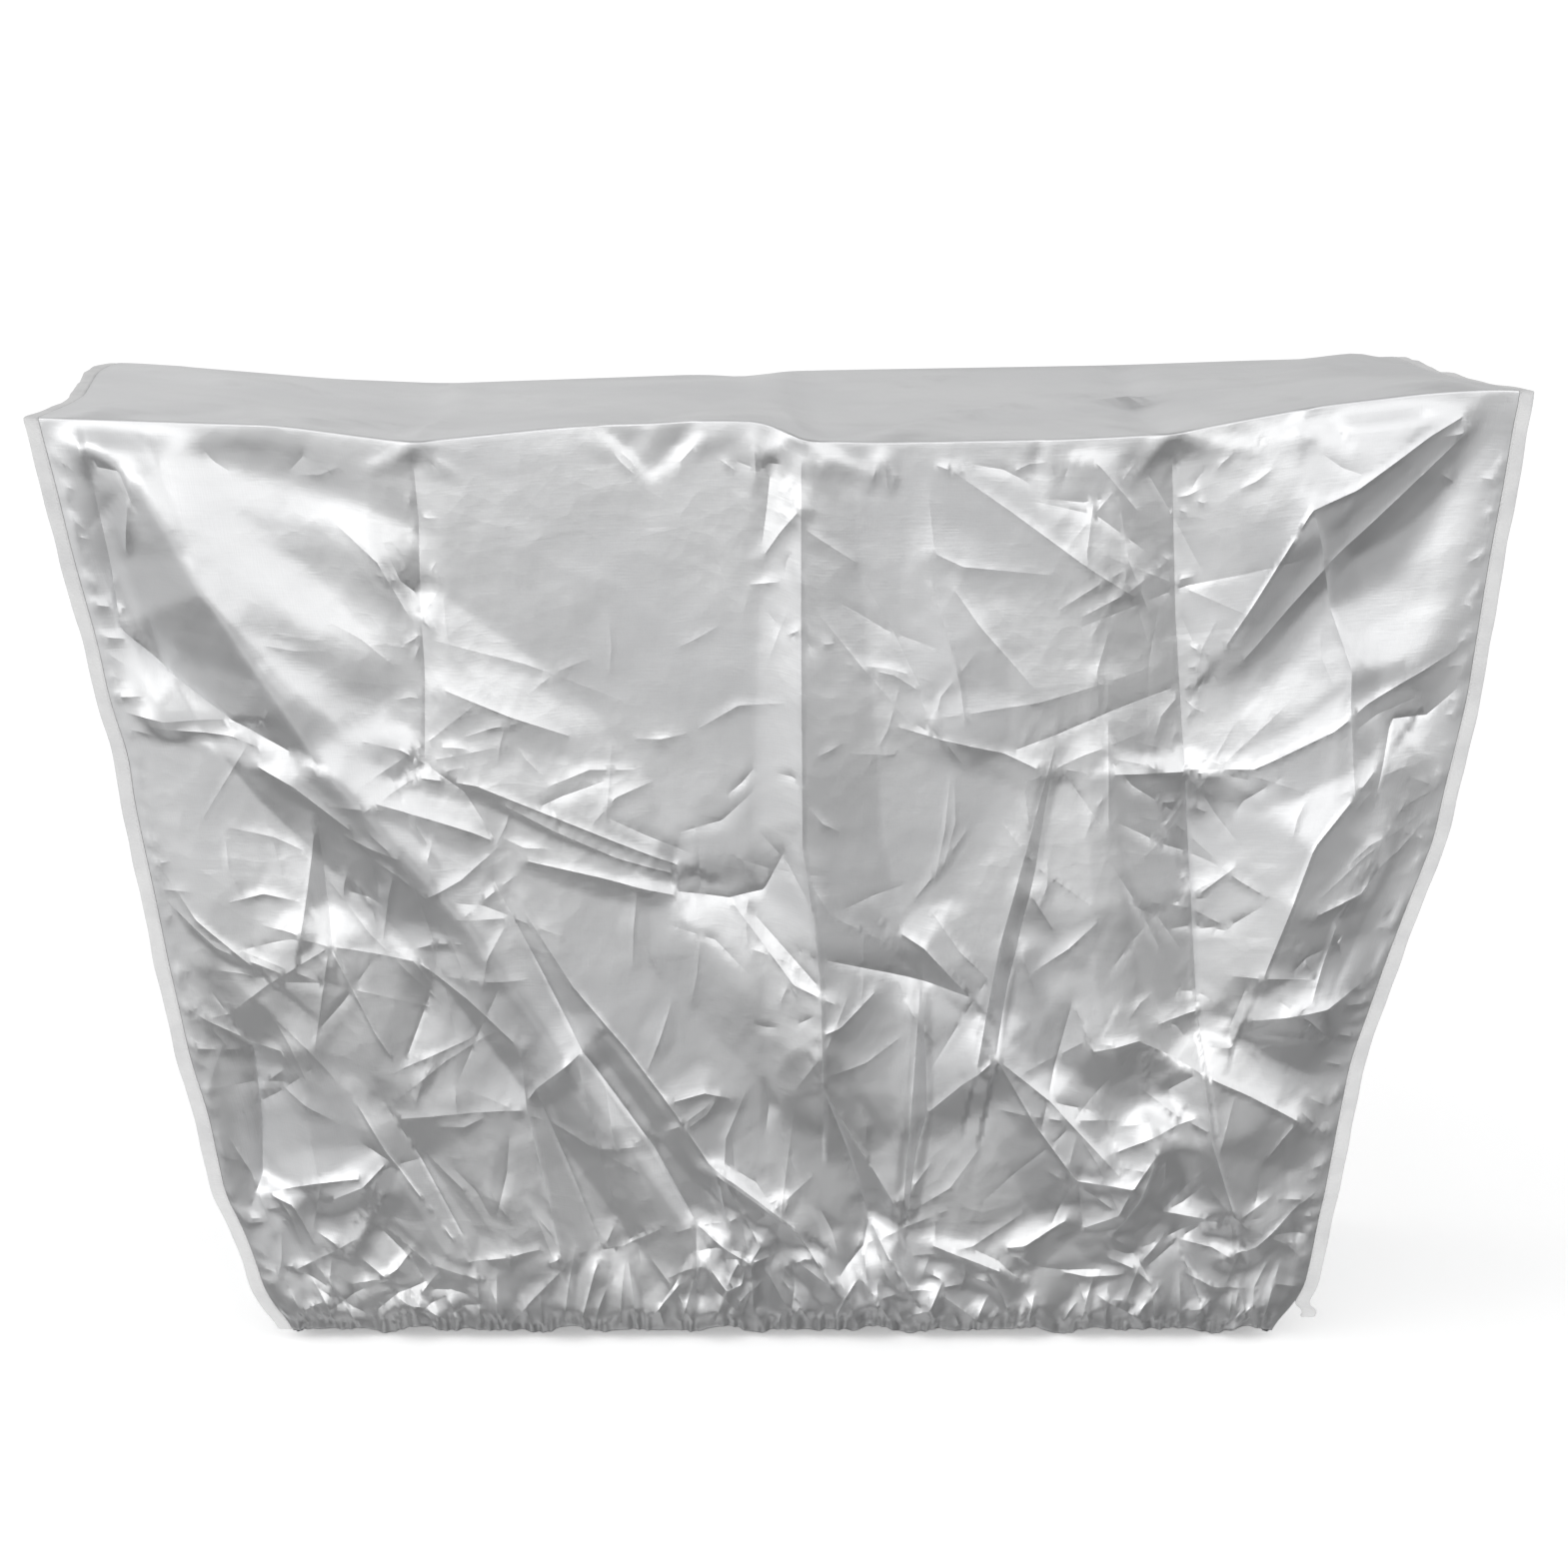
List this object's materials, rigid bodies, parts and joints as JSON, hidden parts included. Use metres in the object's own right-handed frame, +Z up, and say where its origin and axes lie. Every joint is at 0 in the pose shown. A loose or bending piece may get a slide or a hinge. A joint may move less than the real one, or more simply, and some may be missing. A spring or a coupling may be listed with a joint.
{
  "type": "fitted air conditioner cover",
  "caption": "Fitted weather cover for an outdoor air conditioner unit: silver-coated cloth with side panels, bound seams and a gathered hem, open underneath",
  "frame": {"origin": "The middle of the top of the unit that the cover is drawn over, 4 to 8 mm under the cloth's top", "axes": "+X along the cover's width, to the right as its front is looked at; +Y from the front to the back; +Z up"},
  "size_m": [0.892, 0.3451, 0.5908],
  "materials": {
    "silver_cloth": "thin plain-woven cloth with a silver aluminium coating, creased and glossy",
    "binding_tape": "matt pale woven binding tape, folded and stitched"
  },
  "bodies": {
    "root": {"body_cloth": "silver_cloth", "side_panel_left": "silver_cloth", "side_panel_right": "silver_cloth", "binding_left": "binding_tape", "binding_right": "binding_tape"}
  },
  "joints": []
}
